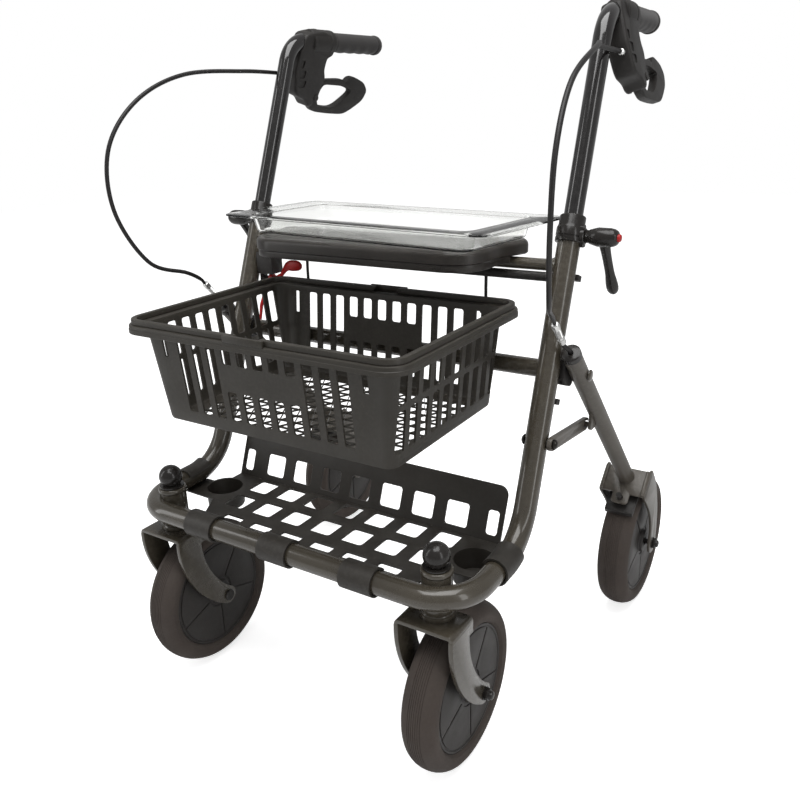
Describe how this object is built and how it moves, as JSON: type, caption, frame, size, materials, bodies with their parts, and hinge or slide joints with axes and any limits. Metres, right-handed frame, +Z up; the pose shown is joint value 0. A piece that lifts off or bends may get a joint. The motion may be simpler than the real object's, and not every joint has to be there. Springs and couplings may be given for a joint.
{
  "type": "rollator with tray",
  "caption": "Folding four-wheeled walking frame with height-adjustable brake handles, a flip-up seat, a lift-off clear tray, a wire-hung basket and a shelf net with cane cups.",
  "frame": {"origin": "on the ground, below the middle of the wheelbase and of the width", "axes": "+Z up; the front, with the casters and the basket, is -Y, and the grips point to +Y; +X is the side of the frame nearer the camera in the picture"},
  "size_m": [0.6286, 0.6236, 0.8484],
  "materials": {
    "frame_paint": "glossy dark grey metallic paint",
    "leg_paint": "glossy grey metallic paint",
    "handle_paint": "glossy near-black paint",
    "black_plastic": "fine matte moulding",
    "basket_plastic": "satin anthracite moulding",
    "seat_plastic": "satin dark moulding",
    "grip_rubber": "soft matte",
    "tyre_rubber": "matte brown-grey",
    "hub_plastic": "satin dark grey",
    "bright_metal": "bright plated",
    "red_plastic": "glossy red",
    "clear_acrylic": "clear with a faint grey tint"
  },
  "bodies": {
    "frame": {"main_frame": "frame_paint", "basket_bar": "black_plastic", "shelf_net": "black_plastic", "lock_housing": "black_plastic", "collar_right": "black_plastic", "collar_left": "black_plastic", "guide_rail_right": "black_plastic", "guide_rail_left": "black_plastic", "caster_cap_right": "black_plastic", "caster_cap_left": "black_plastic", "link_bolt_right": "bright_metal", "link_bolt_left": "bright_metal", "brake_cable_right": "black_plastic", "brake_cable_left": "black_plastic"},
    "seat": {"seat": "seat_plastic"},
    "tray": {"tray": "clear_acrylic"},
    "basket": {"basket": "basket_plastic"},
    "cross_slide": {"cross_tube": "frame_paint", "slider_block_right": "black_plastic", "slider_block_left": "black_plastic"},
    "fold_lever": {"fold_lever": "red_plastic"},
    "handle_right": {"handle_tube_right": "handle_paint", "grip_right": "grip_rubber", "brake_housing_right": "black_plastic", "cable_fitting_right": "bright_metal"},
    "brake_lever_right": {"brake_lever_right": "black_plastic"},
    "clamp_lever_right": {"clamp_lever_right": "black_plastic"},
    "clamp_button_right": {"clamp_button_right": "red_plastic"},
    "rear_leg_right": {"rear_leg_right": "leg_paint", "brake_adjuster_right": "bright_metal"},
    "brake_shoe_right": {"brake_shoe_right": "black_plastic"},
    "fold_link_right": {"fold_link_right": "leg_paint"},
    "rear_wheel_right": {"rear_tyre_right": "tyre_rubber", "rear_hub_right": "hub_plastic", "rear_axle_right": "black_plastic"},
    "front_fork_right": {"front_fork_right": "frame_paint"},
    "front_wheel_right": {"front_tyre_right": "tyre_rubber", "front_hub_right": "hub_plastic", "front_axle_right": "black_plastic"},
    "basket_handle_right": {"basket_handle_right": "basket_plastic"},
    "handle_left": {"handle_tube_left": "handle_paint", "grip_left": "grip_rubber", "brake_housing_left": "black_plastic", "cable_fitting_left": "bright_metal"},
    "brake_lever_left": {"brake_lever_left": "black_plastic"},
    "clamp_lever_left": {"clamp_lever_left": "black_plastic"},
    "clamp_button_left": {"clamp_button_left": "red_plastic"},
    "rear_leg_left": {"rear_leg_left": "leg_paint", "brake_adjuster_left": "bright_metal"},
    "brake_shoe_left": {"brake_shoe_left": "black_plastic"},
    "fold_link_left": {"fold_link_left": "leg_paint"},
    "rear_wheel_left": {"rear_tyre_left": "tyre_rubber", "rear_hub_left": "hub_plastic", "rear_axle_left": "black_plastic"},
    "front_fork_left": {"front_fork_left": "frame_paint"},
    "front_wheel_left": {"front_tyre_left": "tyre_rubber", "front_hub_left": "hub_plastic", "front_axle_left": "black_plastic"},
    "basket_handle_left": {"basket_handle_left": "basket_plastic"}
  },
  "joints": [
    {"name": "fold_slide", "type": "slide", "parent": "frame", "child": "cross_slide", "axis": [0, 0.368, 0.9298], "range_m": [0, 0.078]},
    {"name": "handle_height_right", "type": "slide", "parent": "frame", "child": "handle_right", "axis": [-0.01, 0.368, 0.9298], "range_m": [-0.1, 0.06], "deforming": ["brake_cable_right"]},
    {"name": "brake_squeeze_right", "type": "hinge", "parent": "handle_right", "child": "brake_lever_right", "pos_m": [0.25266, 0.15571, 0.75491], "axis": [0.9552, 0.0461, 0.2924], "range_deg": [-10, 12]},
    {"name": "clamp_turn_right", "type": "hinge", "parent": "frame", "child": "clamp_lever_right", "pos_m": [0.25398, -0.00051, 0.589], "axis": [1, 0, 0], "range_deg": [-60, 60]},
    {"name": "button_press_right", "type": "slide", "parent": "clamp_lever_right", "child": "clamp_button_right", "axis": [-1, 0, 0], "range_m": [0, 0.003], "stiffness_N_per_m": 300},
    {"name": "leg_fold_right", "type": "hinge", "parent": "cross_slide", "child": "rear_leg_right", "pos_m": [0, -0.02835, 0.4347], "axis": [1, 0, 0], "range_deg": [-24, 0]},
    {"name": "link_fold_right", "type": "hinge", "parent": "frame", "child": "fold_link_right", "pos_m": [0, -0.08728, 0.3665], "axis": [1, 0, 0], "range_deg": [0, 31]},
    {"name": "brake_shoe_slide_right", "type": "slide", "parent": "rear_leg_right", "child": "brake_shoe_right", "axis": [0, 0.6743, -0.7385], "range_m": [-0.00181, 0.00218], "stiffness_N_per_m": 8000},
    {"name": "rear_wheel_spin_right", "type": "hinge", "parent": "rear_leg_right", "child": "rear_wheel_right", "pos_m": [0.272, 0.2118, 0.1], "axis": [1, 0, 0], "continuous": true},
    {"name": "caster_swivel_right", "type": "hinge", "parent": "frame", "child": "front_fork_right", "pos_m": [0.1991, -0.254, 0.25], "axis": [0, 0, 1], "continuous": true},
    {"name": "front_wheel_spin_right", "type": "hinge", "parent": "front_fork_right", "child": "front_wheel_right", "pos_m": [0.1991, -0.2118, 0.1], "axis": [1, 0, 0], "continuous": true},
    {"name": "basket_handle_lift_right", "type": "hinge", "parent": "basket", "child": "basket_handle_right", "pos_m": [0.02, -0.16305, 0.5119], "axis": [0, -1, 0], "range_deg": [0, 13]},
    {"name": "handle_height_left", "type": "slide", "parent": "frame", "child": "handle_left", "axis": [0.01, 0.368, 0.9298], "range_m": [-0.1, 0.06], "deforming": ["brake_cable_left"]},
    {"name": "brake_squeeze_left", "type": "hinge", "parent": "handle_left", "child": "brake_lever_left", "pos_m": [-0.25266, 0.15571, 0.75491], "axis": [0.9552, -0.0461, -0.2924], "range_deg": [-10, 12]},
    {"name": "clamp_turn_left", "type": "hinge", "parent": "frame", "child": "clamp_lever_left", "pos_m": [-0.25398, -0.00051, 0.589], "axis": [1, 0, 0], "range_deg": [-60, 60]},
    {"name": "button_press_left", "type": "slide", "parent": "clamp_lever_left", "child": "clamp_button_left", "axis": [1, 0, 0], "range_m": [0, 0.003], "stiffness_N_per_m": 300},
    {"name": "leg_fold_left", "type": "hinge", "parent": "cross_slide", "child": "rear_leg_left", "pos_m": [0, -0.02835, 0.4347], "axis": [1, 0, 0], "range_deg": [-24, 0]},
    {"name": "link_fold_left", "type": "hinge", "parent": "frame", "child": "fold_link_left", "pos_m": [0, -0.08728, 0.3665], "axis": [1, 0, 0], "range_deg": [0, 31]},
    {"name": "brake_shoe_slide_left", "type": "slide", "parent": "rear_leg_left", "child": "brake_shoe_left", "axis": [0, 0.6743, -0.7385], "range_m": [-0.00181, 0.00218], "stiffness_N_per_m": 8000},
    {"name": "rear_wheel_spin_left", "type": "hinge", "parent": "rear_leg_left", "child": "rear_wheel_left", "pos_m": [-0.272, 0.2118, 0.1], "axis": [1, 0, 0], "continuous": true},
    {"name": "caster_swivel_left", "type": "hinge", "parent": "frame", "child": "front_fork_left", "pos_m": [-0.1991, -0.254, 0.25], "axis": [0, 0, 1], "continuous": true},
    {"name": "front_wheel_spin_left", "type": "hinge", "parent": "front_fork_left", "child": "front_wheel_left", "pos_m": [-0.1991, -0.2118, 0.1], "axis": [1, 0, 0], "continuous": true},
    {"name": "basket_handle_lift_left", "type": "hinge", "parent": "basket", "child": "basket_handle_left", "pos_m": [-0.02, -0.16305, 0.5119], "axis": [0, 1, 0], "range_deg": [0, 13]},
    {"name": "seat_lift", "type": "hinge", "parent": "frame", "child": "seat", "pos_m": [0, -0.01349, 0.5562], "axis": [-1, 0, 0], "range_deg": [0, 85]},
    {"name": "tray_lift_off", "type": "slide", "parent": "seat", "child": "tray", "axis": [0, 0, 1], "range_m": [0, 0.12]},
    {"name": "basket_lift_off", "type": "slide", "parent": "frame", "child": "basket", "axis": [0, 0, 1], "range_m": [0, 0.018]},
    {"name": "fold_lever_press", "type": "hinge", "parent": "frame", "child": "fold_lever", "pos_m": [-0.204, -0.02, 0.509], "axis": [1, 0, 0], "range_deg": [-8, 0], "stiffness_Nm_per_rad": 0.6}
  ],
  "couplings": [
    {"joint": "leg_fold_right", "follows": "fold_slide", "rad_per_m": -5.27},
    {"joint": "link_fold_right", "follows": "fold_slide", "rad_per_m": 6.88},
    {"joint": "brake_squeeze_right", "follows": "brake_shoe_slide_right", "rad_per_m": 96.154},
    {"joint": "leg_fold_left", "follows": "fold_slide", "rad_per_m": -5.27},
    {"joint": "link_fold_left", "follows": "fold_slide", "rad_per_m": 6.88},
    {"joint": "brake_squeeze_left", "follows": "brake_shoe_slide_left", "rad_per_m": 96.154}
  ]
}
